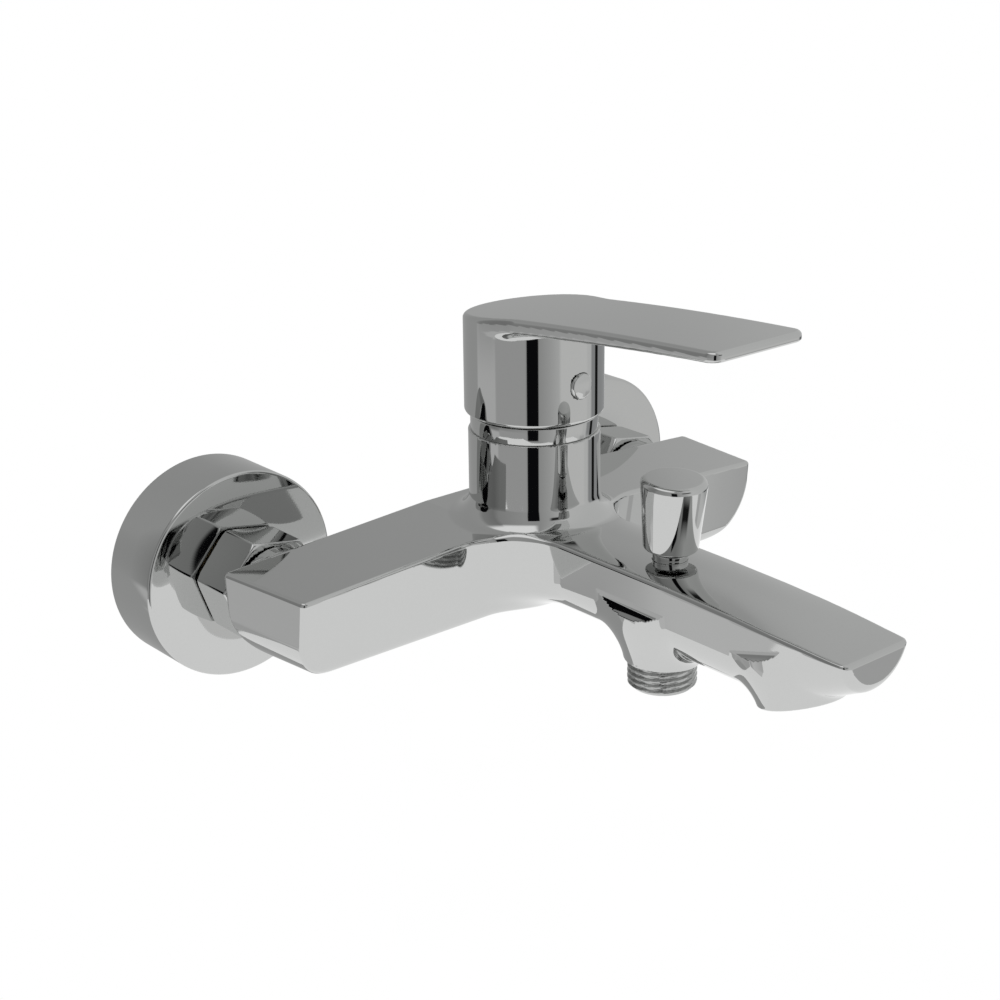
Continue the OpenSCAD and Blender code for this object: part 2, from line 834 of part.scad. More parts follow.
module trim_ring() {
    inner = cavity_r + seat_clear;
    color("gainsboro")
        at_hub(neck_top) rotate_extrude()
            difference() {
                translate([inner, 0]) square([ring_r - inner, ring_h]);
                translate([ring_r, ring_h]) rotate(45) square(0.9, center = true);
            }
}

// ---- handle ----

// Height of the handle's top at the distance d forward of its axis: a shallow arch.
function handle_top(d) =
    let (s = d / lever_reach)
    hub_top + lever_rise * (1.42 * s - 0.42 * s * s);

// Side view of the handle below its arched top.
module handle_side(low) {
    n = 24;
    back = -hub_r - 1;
    polygon(concat(
        [[hub_y - lever_reach, low], [hub_y - back, low]],
        [for (i = [0 : n]) let (d = back + (lever_reach - back) * i / n) [hub_y - d, handle_top(d)]]));
}

// Side view of the lever alone, thinner towards the tip.
module lever_side() {
    n = 16;
    function thick(d) = lever_t + (lever_tip_t - lever_t) * max(0, d) / lever_reach;
    polygon(concat(
        [for (i = [0 : n]) let (d = lever_reach * i / n) [hub_y - d, handle_top(d)]],
        [for (i = [n : -1 : 0]) let (d = lever_reach * i / n) [hub_y - d, handle_top(d) - thick(d)]]));
}

// The lever seen from above.
module lever_plan() {
    half = lever_w / 2;
    tip = lever_tip_w / 2;
    c = lever_corner_r;
    polygon([[-half, hub_y], [half, hub_y], [tip, lever_tip + c], [-tip, lever_tip + c]]);
    translate([-tip + c, lever_tip]) square([lever_tip_w - 2 * c, 2 * c]);
    for (side = [-1, 1])
        translate([side * (tip - c), lever_tip + c]) circle(r = c);
}

module handle() {
    post_r = stem_square / 2 * sqrt(2) + 2.9;
    post_z = stem_top - post_len;
    socket = stem_square / 2 + run_clear;
    cavity_top = handle_top(-hub_r) - roof_t;
    color("gainsboro")
        difference() {
            union() {
                intersection() {
                    at_hub(hub_bottom) rotate_extrude()
                        union() {
                            translate([0, hub_edge_r]) square([hub_r, 2 * hub_h]);
                            square([hub_r - hub_edge_r, 2]);
                            translate([hub_r - hub_edge_r, hub_edge_r]) circle(r = hub_edge_r);
                        }
                    sideways(4 * hub_r) handle_side(hub_bottom - 1);
                }
                intersection() {
                    sideways(2 * lever_w) lever_side();
                    translate([0, 0, hub_bottom]) linear_extrude(3 * hub_h) lever_plan();
                }
            }
            difference() {
                at_hub(hub_bottom - 1) cylinder(r = skirt_r, h = cavity_top - hub_bottom + 1);
                at_hub(post_z) cylinder(r = post_r, h = hub_h);
            }
            at_hub(post_z - 1) translate([-socket, -socket, 0])
                cube([2 * socket, 2 * socket, stem_top - post_z + 1.3]);
            translate([0, 0, screw_z]) rod_y(screw_d / 2 + seat_clear, hub_y, hub_y - 2 * hub_r);
            translate([0, 0, screw_z]) rod_y(plug_d / 2 + seat_clear, hub_y - hub_r + 3, hub_y - 2 * hub_r);
        }
}

// Grub screw that clamps the handle on the square of the stem.
module handle_screw() {
    tip = hub_y - stem_square / 2 - 0.1;
    color("silver")
        translate([0, 0, screw_z])
            difference() {
                rod_y(screw_d / 2, tip, tip - screw_len);
                translate([0, tip - screw_len / 2, 0]) rotate([90, 0, 0])
                    cylinder(r = screw_d / 4, h = screw_len, $fn = 6);
            }
}

// Round plug in front of the screw: blank, slightly domed.
module handle_plug() {
    r = plug_d / 2;
    color("gainsboro")
        intersection() {
            translate([0, 0, screw_z]) rod_y(r, hub_y - hub_r + 2.9, hub_y - hub_r - 2);
            translate([0, hub_y, screw_z - plug_d]) cylinder(r = hub_r + 0.3, h = 2 * plug_d);
        }
}

// ---- diverter ----

// Waisted pull knob with a rounded rim and a bore for the stem.
module diverter_knob() {
    top = knob_top_d / 2;
    low = knob_low_d / 2;
    e = knob_rim_r;
    color("gainsboro")
        at_diverter() translate([0, 0, knob_z])
            difference() {
                rotate_extrude()
                    union() {
                        polygon([[0, 0], [low - 0.4, 0], [low, 0.4], [top, knob_h - e],
                            [top - e, knob_h - e], [top - e, knob_h], [0, knob_h]]);
                        translate([top - e, knob_h - e]) circle(r = e);
                    }
                translate([0, 0, -1]) cylinder(r = stem_d / 2 + seat_clear, h = 13);
            }
}

module diverter_stem() {
    color("silver")
        at_diverter() translate([0, 0, valve_z - 1])
            cylinder(d = stem_d, h = knob_z + 11.9 - valve_z + 1);
}

// Screwed gland with an undercut where it meets the spout.
module diverter_gland() {
    bore = stem_d / 2 + run_clear;
    r = gland_d / 2;
    color("gainsboro")
        at_diverter() rotate_extrude()
            difference() {
                union() {
                    translate([bore, -gland_grip])
                        square([gland_r - bore, gland_grip + gland_rise]);
                    translate([bore, 0.5]) square([r - bore, gland_rise - 0.5]);
                }
                translate([bore - 1, -gland_grip / 2]) square([1 + seal_step, 2]);
            }
}

module gland_seal() {
    bore = stem_d / 2 + run_clear;
    color("black")
        at_diverter() translate([0, 0, -gland_grip / 2]) tube(bore + seal_step, bore, 2);
}

// Rubber-faced plate on the stem: down it shuts the shower, up it shuts the spout.
module diverter_valve() {
    color("dimgray")
        at_diverter() translate([0, 0, valve_z])
            tube(valve_d / 2, stem_d / 2 + seat_clear, valve_t);
}

// Coil spring between the gland and the valve plate.
module diverter_spring() {
    wire = 0.5;
    turns = 4;
    r = stem_d / 2 + 1.4;
    low = valve_z + valve_t + wire + 0.1;
    high = -gland_grip - wire - 0.1;
    color("silver")
        at_diverter()
            for (i = [0 : turns - 1])
                translate([0, 0, low + (high - low) * i / (turns - 1)])
                    rotate_extrude() translate([r, 0]) circle(r = wire, $fn = 16);
}

// ---- shower outlet and aerator ----

module shower_nipple() {
    r = pipe_thread_d / 2;
    color("tan")
        translate([0, outlet_y, outlet_end])
            difference() {
                union() {
                    rotate_extrude() thread_section(r, 0, outlet_thread_len);
                    translate([0, 0, outlet_thread_len - eps])
                        cylinder(r = nipple_r, h = nipple_grip + eps);
                }
                translate([0, 0, -1])
                    cylinder(r = outlet_bore_d / 2, h = outlet_thread_len + nipple_grip + 2);
                translate([0, 0, -1]) cylinder(r = check_r, h = 7);
            }
}

// Non-return valve pressed into the nipple.
module check_valve() {
    color("royalblue")
        translate([0, outlet_y, outlet_end + 1])
            difference() {
                cylinder(r = check_r - seat_clear, h = 5 - seat_clear);
                for (a = [0 : 72 : 288])
                    rotate([0, 0, a]) translate([4, 0, -1]) cylinder(r = 1.6, h = 7);
            }
}

module aerator_housing() {
    outer = aerator_d / 2 - seat_clear;
    color("lightgray")
        at_aerator() translate([0, 0, aerator_inset])
            difference() {
                cylinder(r = outer, h = aerator_h);
                translate([0, 0, -1]) cylinder(r = outer - insert_rim, h = aerator_h + 2);
                for (a = [0 : 90 : 270])
                    rotate([0, 0, a]) translate([outer - 0.4, 0, -1]) cylinder(r = 0.9, h = 2.2);
            }
}

// Jet former: a disc with a ring pattern of holes.
module aerator_insert() {
    outer = aerator_d / 2 - insert_rim - 2 * seat_clear;
    step = outer / 3.5;
    color("whitesmoke")
        at_aerator() translate([0, 0, aerator_inset + 0.9])
            difference() {
                cylinder(r = outer, h = aerator_h - 0.9);
                for (ring = [0 : 2], i = [0 : 6 * (ring + 1) - 1])
                    rotate([0, 0, i * 60 / (ring + 1)])
                        translate([step * (ring + 1), 0, -1])
                            cylinder(r = 0.7, h = aerator_h + 2, $fn = 24);
            }
}

module aerator_seal() {
    outer = aerator_d / 2 - seat_clear;
    low = aerator_inset + aerator_h;
    color("black")
        at_aerator() translate([0, 0, low]) tube(outer, outer - 3, aerator_depth - low);
}

body();
escutcheon(-1);  // left_escutcheon
escutcheon(1);  // right_escutcheon
s_union(-1);  // left_s_union
s_union(1);  // right_s_union
union_nut(-1);  // left_union_nut
union_nut(1);  // right_union_nut
washer(-1);  // left_washer
washer(1);  // right_washer
filter_screen(-1);  // left_filter
filter_screen(1);  // right_filter
inlet_tail(-1);  // left_inlet_tail
inlet_tail(1);  // right_inlet_tail
cartridge_seals();
cartridge_base();
fixed_disc();
moving_disc();
disc_driver();
cartridge_housing();
cartridge_carrier();
pivot_pin();
lever_stem();
cartridge_nut();
trim_ring();
handle();
handle_screw();
handle_plug();
diverter_knob();
diverter_stem();
diverter_gland();
gland_seal();
diverter_valve();
diverter_spring();
shower_nipple();
check_valve();
aerator_housing();
aerator_insert();
aerator_seal();
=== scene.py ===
"""Wall mounted bath faucet: its polished shapes, finishes, studio and camera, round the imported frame."""

import json
import math

import numpy as np

import bmesh
import bpy
from mathutils import Matrix, Vector

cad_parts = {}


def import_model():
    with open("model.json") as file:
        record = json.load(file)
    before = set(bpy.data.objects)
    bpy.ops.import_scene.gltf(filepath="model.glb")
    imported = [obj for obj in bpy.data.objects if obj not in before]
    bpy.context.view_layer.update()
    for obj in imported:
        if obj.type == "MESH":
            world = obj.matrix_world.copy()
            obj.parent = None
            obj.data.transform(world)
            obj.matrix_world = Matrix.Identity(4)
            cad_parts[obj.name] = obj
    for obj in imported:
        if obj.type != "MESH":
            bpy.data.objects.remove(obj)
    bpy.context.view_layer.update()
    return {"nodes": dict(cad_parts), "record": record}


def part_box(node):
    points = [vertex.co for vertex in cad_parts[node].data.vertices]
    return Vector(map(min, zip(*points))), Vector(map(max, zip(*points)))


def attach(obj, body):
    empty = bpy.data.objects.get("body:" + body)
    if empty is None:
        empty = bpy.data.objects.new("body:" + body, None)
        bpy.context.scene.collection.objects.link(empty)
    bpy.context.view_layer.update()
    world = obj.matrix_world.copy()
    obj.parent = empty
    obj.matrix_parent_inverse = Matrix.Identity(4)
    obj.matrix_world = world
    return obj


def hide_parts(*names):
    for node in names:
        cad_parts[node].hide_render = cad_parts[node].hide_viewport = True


MM = 0.001

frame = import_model()
nodes = frame["nodes"]


def span(node):
    """Lowest and highest corner of a CAD node, in millimetres."""
    low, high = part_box(node)
    return np.array(low) / MM, np.array(high) / MM


def middle(node):
    """Middle of a CAD node's box, in millimetres."""
    low, high = span(node)
    return (low + high) / 2


# ---- stations, in millimetres, read from the frame ----

body_low, body_high = span("body")
inlet_x, _, axis_z = middle("right_union_nut")
hub_y = middle("trim_ring")[1]
outlet_y = middle("shower_nipple")[1]
arm_half = body_high[0]
collar_rear = body_high[1]
spout_tip = body_low[1]
neck_top = body_high[2]
boss_z = body_low[2]
nut_low, nut_high = span("right_union_nut")
nut_front, nut_rear = nut_low[1], nut_high[1]
ring_h = span("trim_ring")[1][2] - neck_top
nipple_end = span("shower_nipple")[0][2]

# ---- sizes of the body, in millimetres ----

collar_len = 4.4
collar_r = 14
collar_root = 1.2
collar_fillet_r = 0.8
arm_depth = 37.1
arm_keel = 13.3
arm_end_taper = 3.8
left_end_r = 13
right_end_r = 20
arm_back_r = 15
arm_low_r = 5
arm_corner_r = 1.8
arm_fall = 4
top_mid = 17
top_edge_r = 1.2
draft = 5
neck_r = 20.55
neck_root = 8
neck_foot_r = 7
spout_w = 30.2
spout_tip_w = 28
spout_keel = 8.5
spout_fall = 2.6
spout_root = 6
root_fade = 1.5
spout_crown = 1.4
crown_start = 88
crown_full = 108
crown_fade = 165
crown_end = 208
tip_keel = 4
tip_corner_r = 2.2
web_r = 22
web_low_r = 14
web_blend_z = 5
boss_r = 11.5
boss_root_z = 5
boss_fillet_r = 9
boss_edge_r = 0.5
aerator_y = -187
aerator_z = -1.8
aerator_tilt = 17
aerator_recess_r = 10.7
aerator_depth = 8
aerator_r = 12.7
aerator_fillet_r = 5
mouth_edge_r = 0.6
cavity_r = 17.55
seat_rise = 0.5
diverter_y = outlet_y - 2.5
diverter_tilt = 3
gland_bore_r = 5.25
gland_grip = 7
chamber_r = 8
chamber_depth = 24
tail_bore_r = 9.55
tail_grip = 11
outlet_bore_r = 5

body_rear = collar_rear - collar_len
draft_sin, draft_cos = math.sin(math.radians(draft)), math.cos(math.radians(draft))
lean_sin, lean_cos = math.sin(math.radians(diverter_tilt)), math.cos(math.radians(diverter_tilt))
diverter_axis = (0, -lean_sin, lean_cos)
top_z = axis_z + top_mid
arm_front = body_rear - arm_depth

# ---- sizes of the handle ----

lever_reach = 94
lever_w = 39.4
lever_tip_w = 36.8
lever_t = 5
lever_tip_t = 3.2
lever_corner_r = 4
lever_rise = 8.2
lever_bow = 0.42
lever_edge_r = 1
lever_root_r = 2
hub_r = 21.65
hub_h = 32.7
hub_edge_r = 1.2
handle_edge_r = 1.5
skirt_r = 20.15
roof_t = 5
post_r = 8.56
post_len = 14
socket_half = 4.06
socket_play = 0.3
screw_r = 3.05
plug_r = 4.05
plug_depth = 3
hub_bottom = span("handle")[0][2]
stem_top = span("lever_stem")[1][2]
screw_z = middle("handle_screw")[2]

# ---- sizes of the turned pieces and the nuts ----

escutcheon_r = 33
escutcheon_depth = 22
escutcheon_hole_r = 13.7
escutcheon_edge_r = 1
hole_edge_r = 0.4
sheet_t = 1.2
nut_af = 30
nut_twist = 20
nut_chamfer = 1.1
nut_chamfer_slope = 1.3
nut_edge_r = 0.45
nut_bore_r = 13.28
nut_shoulder_t = 3
nut_play = 0.01
ring_r = 19.85
ring_bore_r = 17.6
ring_low_edge_r = 0.25
ring_top_edge_r = 0.5
knob_low_r = 8.3
knob_top_r = 9.9
knob_h = 21.8
knob_rim_r = 1.8
knob_low_edge_r = 1
knob_dome = 0.15
knob_socket = 13
knob_lift = 4.8
stem_r = 2.56
gland_r = 5.2
gland_ring_r = 5.4
gland_ring_t = 1.5
gland_edge_r = 0.3
gland_rise = 3.7
plug_play = 0.05
plug_proud = 0.75
plug_dome = 0.12
plug_edge_r = 0.8
plug_seat = 2.9
thread_r = 10.478
thread_pitch = 1.814
thread_depth = 0.8
thread_len = 8.4
thread_rows = 56
groove_half = 0.34
groove_flank = 0.24
lead_r = 9.35
lead_len = 1.1
nipple_r = 9.6
nipple_grip = 5
nipple_bore_r = 6
valve_seat_r = 7
valve_seat_depth = 6


# ---- distance fields: negative inside, in millimetres ----


def join(a, b, r):
    """Union of two fields with a fillet of radius r between them."""
    return np.maximum(r, np.minimum(a, b)) - np.hypot(np.maximum(r - a, 0), np.maximum(r - b, 0))


def meet(a, b, r):
    """Intersection of two fields with their edge rounded to radius r."""
    return np.minimum(-r, np.maximum(a, b)) + np.hypot(np.maximum(r + a, 0), np.maximum(r + b, 0))


def ease(value, start, end):
    """Goes smoothly from 0 at start to 1 at end."""
    t = np.clip((value - start) / (end - start), 0, 1)
    return t * t * (3 - 2 * t)


def leaning(across, z, half):
    """A side that stands half away at the top and leans in below it by the draft."""
    return (across - half) * draft_cos + (top_z - z) * draft_sin


def d_bar(across, z, half, low):
    """A bar with leaning sides and a round underside that meets them smoothly."""
    radius = (half * draft_cos - (top_z - low) * draft_sin) / (1 - draft_sin)
    below = z - low - radius
    side = leaning(across, z, half)
    return np.where(below * draft_cos < -across * draft_sin, np.hypot(across, below) - radius, side)


def arms(x, y, z):
    """The bar of the two arms: both faces lean in, and its lower edges and ends are rounded."""
    low = axis_z - arm_keel
    depth = y - body_rear + arm_depth / 2
    front = meet(leaning(-depth, z, arm_depth / 2), low - z, arm_low_r)
    rear = meet(leaning(depth, z, arm_depth / 2), low - z, arm_back_r)
    taper = arm_end_taper / arm_depth
    end = (np.abs(x) - arm_half - taper * (y - body_rear)) / math.hypot(1, taper)
    end = np.where(x < 0, meet(end, low - z, left_end_r), meet(end, low - z, right_end_r))
    return meet(np.maximum(front, rear), end, arm_corner_r)


def spout(x, y, z):
    """The spout, a bar that narrows and rises underneath past the aerator."""
    t = np.clip((aerator_y - y) / (aerator_y - spout_tip), 0, 1.2)
    half = (spout_w - t * (spout_w - spout_tip_w)) / 2
    low = axis_z - spout_keel + t * (spout_keel + tip_keel)
    bar = d_bar(np.abs(x), z, half, low)
    length = np.maximum(spout_tip - y, y - body_rear + arm_depth / 2)
    return meet(bar, length, tip_corner_r)


def top_height(x, y):
    """Height of the body's top: it falls along the arms, and arches and crowns along the spout."""
    out = np.maximum(np.abs(x) - neck_r, 0) / (arm_half - neck_r)
    along = np.maximum(outlet_y - y, 0) / (outlet_y - spout_tip)
    across = np.minimum(np.abs(x) * 2 / spout_w, 1)
    crown = ease(-y, crown_start, crown_full) * (1 - ease(-y, crown_fade, crown_end)) * (1 - across**3)
    return top_z - arm_fall * out - spout_fall * along**2 + spout_crown * crown


def tilted(y, z, at_y, at_z, degrees):
    """Distance across and along an axis that leans in the plane of Y and Z, from a point on it."""
    s, c = math.sin(math.radians(degrees)), math.cos(math.radians(degrees))
    return (y - at_y) * c - (z - at_z) * s, (y - at_y) * s + (z - at_z) * c


def bosses(shape, x, y, z):
    """Adds the shower boss and the aerator's bulge, cut off at their open ends."""
    boss = np.maximum(np.hypot(x, y - outlet_y) - boss_r, np.maximum(boss_z - z, z - boss_root_z))
    shape = join(shape, boss, boss_fillet_r)
    across, along = tilted(y, z, aerator_y, aerator_z, aerator_tilt)
    bulge = np.maximum(np.hypot(x, across) - aerator_r, along - aerator_r)
    shape = join(shape, bulge, aerator_fillet_r)
    shape = meet(shape, -along, mouth_edge_r)
    return meet(shape, boss_z - z, boss_edge_r)


def body_hollows(x, y, z):
    """Seat of the cartridge, inlets, aerator's recess, and the diverter's bore, chamber and outlet."""
    cavity = np.maximum(np.hypot(x, y - hub_y) - cavity_r, top_z + seat_rise - z)
    inlet = np.hypot(np.abs(x) - inlet_x, z - axis_z)
    tail = np.maximum(inlet - tail_bore_r, body_rear - tail_grip - y)
    across, along = tilted(y, z, aerator_y, aerator_z, aerator_tilt)
    recess = np.maximum(np.hypot(x, across) - aerator_recess_r, along - aerator_depth)
    stem_across, stem_along = tilted(y, z, diverter_y, top_z, diverter_tilt)
    stem = np.hypot(x, stem_across)
    gland = np.maximum(stem - gland_bore_r, -gland_grip - stem_along)
    chamber = np.maximum(stem - chamber_r, np.maximum(stem_along + gland_grip, -chamber_depth - stem_along))
    drop = np.hypot(x, y - outlet_y)
    outlet = np.maximum(drop - outlet_bore_r, z)
    nipple = np.maximum(drop - nipple_r, z - boss_z - nipple_grip)
    return cavity, tail, recess, gland, chamber, outlet, nipple


def body(x, y, z):
    """The casting: arms and spout with a web between them, the bosses, the neck and the collars."""
    reach = spout(x, y, z) + root_fade * np.maximum(0, y - arm_front - spout_root)
    web = web_low_r + (web_r - web_low_r) * ease(z, -web_blend_z, web_blend_z)
    shape = bosses(join(arms(x, y, z), reach, web), x, y, z)

    shape = meet(shape, z - top_height(x, y), top_edge_r)
    neck = np.maximum(np.hypot(x, y - hub_y) - neck_r, np.maximum(z - neck_top, top_z - neck_root - z))
    shape = join(shape, neck, neck_foot_r)
    shape = np.maximum(shape, z - neck_top)
    inlet = np.hypot(np.abs(x) - inlet_x, z - axis_z)
    collar = np.maximum(inlet - collar_r, np.maximum(y - collar_rear, body_rear - collar_root - y))
    shape = join(shape, collar, collar_fillet_r)

    for hollow in body_hollows(x, y, z):
        shape = np.maximum(shape, -hollow)
    return shape


def handle_top(y):
    """Height of the handle's top, a long arch that rises towards the tip."""
    s = (hub_y - y) / lever_reach
    return hub_bottom + hub_h + lever_rise * ((1 + lever_bow) * s - lever_bow * s * s)


def handle(x, y, z):
    """The handle: a round hub and a thin lever in one casting, hollow round its square socket."""
    top = handle_top(y)
    s = (hub_y - y) / lever_reach
    plan = meet(np.abs(x) - (lever_w - np.maximum(s, 0) * (lever_w - lever_tip_w)) / 2,
                hub_y - lever_reach - y, lever_corner_r)
    plan = np.maximum(plan, y - hub_y)
    under = top - lever_t + np.maximum(s, 0) * (lever_t - lever_tip_t) - z
    lever = meet(plan, under, lever_edge_r)
    round_hub = np.hypot(x, y - hub_y)
    hub = meet(round_hub - hub_r, hub_bottom - z, hub_edge_r)
    shape = meet(join(hub, lever, lever_root_r), z - top, handle_edge_r)

    post = np.maximum(round_hub - post_r, stem_top - post_len - z)
    cavity = np.maximum(round_hub - skirt_r, z - handle_top(hub_y + hub_r) + roof_t)
    cavity = np.maximum(cavity, -post)
    socket = np.maximum(np.maximum(np.abs(x), np.abs(y - hub_y)) - socket_half,
                        z - stem_top - socket_play)
    ahead = np.hypot(x, z - screw_z)
    screw = np.maximum(ahead - screw_r, y - hub_y)
    plug = np.maximum(ahead - plug_r, y - hub_y + hub_r - plug_depth)
    for hollow in (cavity, socket, screw, plug):
        shape = np.maximum(shape, -hollow)
    return shape


# ---- meshes ----

CELL_CORNERS = [(i, j, k) for i in (0, 1) for j in (0, 1) for k in (0, 1)]

# keeps the grid's points off the flat faces, in steps
GRID_OFFSET = 1.37


def gradient(field, p):
    """Slope of a field at points."""
    h = 0.02
    out = np.empty_like(p)
    for axis in range(3):
        step = np.zeros(3)
        step[axis] = h
        out[:, axis] = (field(*(p + step).T) - field(*(p - step).T)) / (2 * h)
    return out


def first_points(value, cells):
    """In each cell, the middle of the places where its edges cross the surface."""
    total = np.zeros((len(cells), 3))
    hits = np.zeros(len(cells))
    for a in CELL_CORNERS:
        for axis in range(3):
            if a[axis]:
                continue
            b = np.array(a)
            b[axis] = 1
            va = value[tuple((cells + a).T)]
            vb = value[tuple((cells + b).T)]
            crossed = (va < 0) != (vb < 0)
            t = np.where(crossed, va / np.where(crossed, va - vb, 1), 0)
            point = np.array(a) + t[:, None] * (b - np.array(a))
            total += point * crossed[:, None]
            hits += crossed
    return cells + total / hits[:, None]


def settle(field, points, step):
    """Moves points along the slope until they lie on the surface."""
    for _ in range(4):
        slope = gradient(field, points)
        move = field(*points.T)[:, None] * slope / np.maximum((slope**2).sum(1), 0.25)[:, None]
        points -= np.clip(move, -0.5 * step, 0.5 * step)
    return points


def quads_between(inside, number):
    """A face for each grid edge that goes in or out of the surface, from the four cells round it."""
    quads = []
    for axis in range(3):
        u, v = (axis + 1) % 3, (axis + 2) % 3
        here = np.take(inside, range(inside.shape[axis] - 1), axis)
        there = np.take(inside, range(1, inside.shape[axis]), axis)
        edges = np.argwhere(here != there)
        edges = edges[(edges[:, u] > 0) & (edges[:, v] > 0)]
        flip = ~here[tuple(edges.T)]
        ring = []
        for du, dv in ((1, 1), (0, 1), (0, 0), (1, 0)):
            cell = edges.copy()
            cell[:, u] -= du
            cell[:, v] -= dv
            ring.append(number[tuple(cell.T)])
        quad = np.stack(ring, 1)
        quad[flip] = quad[flip][:, ::-1]
        quads.append(quad)
    return np.concatenate(quads)


def skin(field, low, high, step):
    """Points, quads and normals of a field's surface: one point in each cell that it crosses."""
    axes = [np.arange(low[i] - GRID_OFFSET * step, high[i] + 2 * step, step) for i in range(3)]
    value = field(*np.meshgrid(*axes, indexing="ij", sparse=True))
    inside = value < 0
    count = sum(inside[i:i - 1 or None, j:j - 1 or None, k:k - 1 or None].astype(np.int8)
                for i, j, k in CELL_CORNERS)
    cells = np.argwhere((count > 0) & (count < 8))
    number = np.full(count.shape, -1, np.int32)
    number[tuple(cells.T)] = np.arange(len(cells))

    start = np.array([axis[0] for axis in axes])
    points = settle(field, start + step * first_points(value, cells), step)
    normals = gradient(field, points)
    normals /= np.linalg.norm(normals, axis=1)[:, None] + 1e-12
    return points, quads_between(inside, number), normals


def new_piece(name, points, quads, normals=None):
    """A mesh object from points in millimetres and faces of four corners."""
    mesh = bpy.data.meshes.new(name)
    mesh.vertices.add(len(points))
    mesh.vertices.foreach_set("co", (np.asarray(points) * MM).ravel())
    mesh.loops.add(4 * len(quads))
    mesh.loops.foreach_set("vertex_index", np.asarray(quads).ravel())
    mesh.polygons.add(len(quads))
    mesh.polygons.foreach_set("loop_start", np.arange(len(quads)) * 4)
    mesh.update(calc_edges=True)
    mesh.validate()
    mesh.shade_smooth()
    if normals is not None:
        mesh.normals_split_custom_set_from_vertices(normals)
    piece = bpy.data.objects.new(name, mesh)
    bpy.context.scene.collection.objects.link(piece)
    return piece


def cast(name, field, node, step):
    """A piece grown from a field inside the box of the CAD node that it stands for."""
    low, high = span(node)
    return new_piece(name, *skin(field, low, high, step))


def lathe(name, outline, centre, axis, cut=None, segments=160, sharp=35):
    """A turned piece: outline holds radii and heights along the axis, cut may change them round it."""
    turn = Vector((0, 0, 1)).rotation_difference(Vector(axis)).to_matrix()
    points, quads = [], []
    rows = len(outline)
    for i in range(segments):
        a = 2 * math.pi * i / segments
        for r, h in outline:
            if cut:
                r = cut(r, h, i / segments)
            points.append(Vector(centre) + turn @ Vector((r * math.cos(a), r * math.sin(a), h)))
        for j in range(rows):
            k, n = (i + 1) % segments, (j + 1) % rows
            quads.append((i * rows + j, k * rows + j, k * rows + n, i * rows + n))
    piece = new_piece(name, [tuple(p) for p in points], quads)
    bm = bmesh.new()
    bm.from_mesh(piece.data)
    bmesh.ops.remove_doubles(bm, verts=bm.verts, dist=1e-7)
    bmesh.ops.recalc_face_normals(bm, faces=bm.faces)
    bm.to_mesh(piece.data)
    bm.free()
    piece.data.set_sharp_from_angle(angle=math.radians(sharp))
    return piece


def arc(r0, h0, radius, start, end, steps=8):
    """Outline points round a rounded edge, its centre at r0 and h0, angles in degrees."""
    angles = [math.radians(start + (end - start) * i / steps) for i in range(steps + 1)]
    return [(r0 + radius * math.cos(a), h0 + radius * math.sin(a)) for a in angles]


# ---- turned pieces ----


def escutcheon(side):
    """A wall cup of thin sheet, open to the wall, with a hole for the union."""
    edge = escutcheon_edge_r
    inside = escutcheon_depth - sheet_t
    outline = [(escutcheon_r, 0), (escutcheon_r, escutcheon_depth / 2)]
    outline += arc(escutcheon_r - edge, escutcheon_depth - edge, edge, 0, 90)
    edge = hole_edge_r
    outline += arc(escutcheon_hole_r + edge, escutcheon_depth - edge, edge, 90, 180, 4)
    outline += [(escutcheon_hole_r, inside), (escutcheon_r - sheet_t, inside), (escutcheon_r - sheet_t, 0)]
    name = "left_wall_cup" if side < 0 else "right_wall_cup"
    return lathe(name, outline, (side * inlet_x, 0, axis_z), (0, -1, 0))


def cover_ring():
    """The trim ring between the neck and the handle."""
    edge = ring_low_edge_r
    outline = arc(ring_r - edge, edge, edge, -90, 0, 4)
    edge = ring_top_edge_r
    outline += arc(ring_r - edge, ring_h - edge, edge, 0, 90, 6)
    outline += [(ring_bore_r, ring_h), (ring_bore_r, 0)]
    return lathe("cover_ring", outline, (0, hub_y, neck_top), (0, 0, 1))


def on_diverter(height):
    """A point on the diverter's leaning axis."""
    return 0, diverter_y - height * lean_sin, top_z + height * lean_cos


def pull_knob():
    """The diverter's knob, wider at its top, with the socket for the stem."""
    edge = knob_low_edge_r
    outline = arc(knob_low_r - edge, edge, edge, -90, -5, 6)
    outline += arc(knob_top_r - knob_rim_r, knob_h - knob_rim_r, knob_rim_r, -4, 90, 12)
    outline += [(0, knob_h + knob_dome), (0, knob_socket), (stem_r, knob_socket), (stem_r, 0)]
    return lathe("pull_knob", outline, on_diverter(knob_lift), diverter_axis)


def knob_gland():
    """The gland round the diverter's stem, with a raised ring at its top."""
    edge = gland_edge_r
    ring_low = gland_rise - gland_ring_t
    outline = [(gland_r, -gland_grip), (gland_r, ring_low), (gland_ring_r - edge / 2, ring_low)]
    outline += arc(gland_ring_r - edge, gland_rise - edge, edge, 0, 90, 4)
    outline += [(stem_r, gland_rise), (stem_r, -gland_grip)]
    return lathe("knob_gland", outline, on_diverter(0), diverter_axis)


def index_plug():
    """The plain plug that covers the handle's screw."""
    radius = plug_r - plug_play
    edge = plug_edge_r
    outline = [(radius, -plug_seat)]
    outline += arc(radius - edge, plug_proud - edge, edge, 0, 80, 8)
    outline += [(0, plug_proud + plug_dome), (0, -plug_seat)]
    return lathe("index_plug", outline, (0, hub_y - hub_r, screw_z), (0, -1, 0), segments=96)


def thread_cut(r, h, turn):
    """Radius of the shower thread: a helical groove, run out at both ends."""
    if r < thread_r - 0.01 or h > thread_len:
        return r
    along = (h / thread_pitch - turn) % 1
    groove = min(max((groove_half - abs(along - 0.5)) / groove_flank, 0), 1)
    lead = min(1, lead_r / r + h / lead_len * (1 - lead_r / r))
    return min(r - thread_depth * groove, r * lead)


